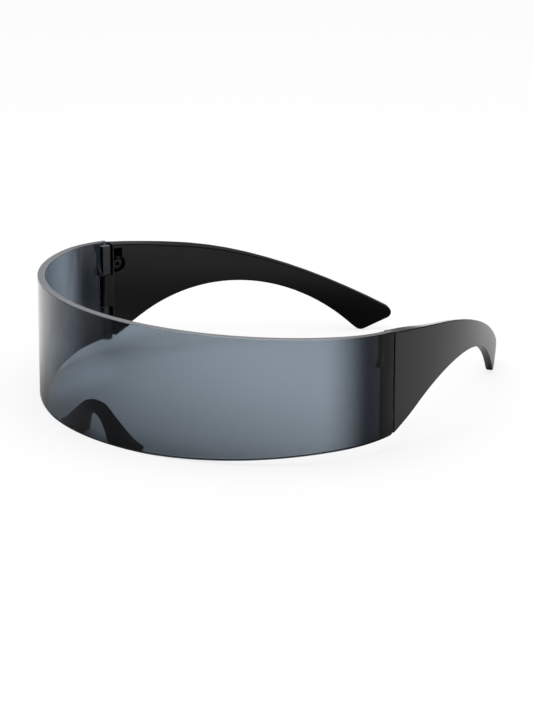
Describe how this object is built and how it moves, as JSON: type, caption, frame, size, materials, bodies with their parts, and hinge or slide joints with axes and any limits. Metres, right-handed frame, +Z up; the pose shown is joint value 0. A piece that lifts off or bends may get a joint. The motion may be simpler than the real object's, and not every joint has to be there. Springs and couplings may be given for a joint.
{
  "type": "shield sunglasses",
  "caption": "Wrap-around shield sunglasses with a single curved smoke lens, a glued nose bridge and folding temples that taper to dropped tips.",
  "frame": {"origin": "on the surface that the open glasses rest on, under the middle of their overall box", "axes": "the lens faces -Y, the temples run back towards +Y, the wearer's left is +X and +Z is up"},
  "size_m": [0.1486, 0.1594, 0.043],
  "materials": {
    "smoke_lens": "transparent smoke-grey polycarbonate, polished on both faces",
    "black_frame": "gloss black injection-moulded plastic",
    "pin_steel": "bright drawn steel"
  },
  "bodies": {
    "front": {"lens": "smoke_lens", "nose_bridge": "black_frame", "left_hinge_pin": "pin_steel", "right_hinge_pin": "pin_steel"},
    "left_temple": {"left_temple": "black_frame"},
    "right_temple": {"right_temple": "black_frame"}
  },
  "joints": [
    {"name": "left_temple_fold", "type": "hinge", "parent": "front", "child": "left_temple", "pos_m": [0.07125, -0.01698, 0.022], "axis": [0, 0, 1], "range_deg": [0, 90]},
    {"name": "right_temple_fold", "type": "hinge", "parent": "front", "child": "right_temple", "pos_m": [-0.07125, -0.01698, 0.022], "axis": [0, 0, -1], "range_deg": [0, 78]}
  ]
}
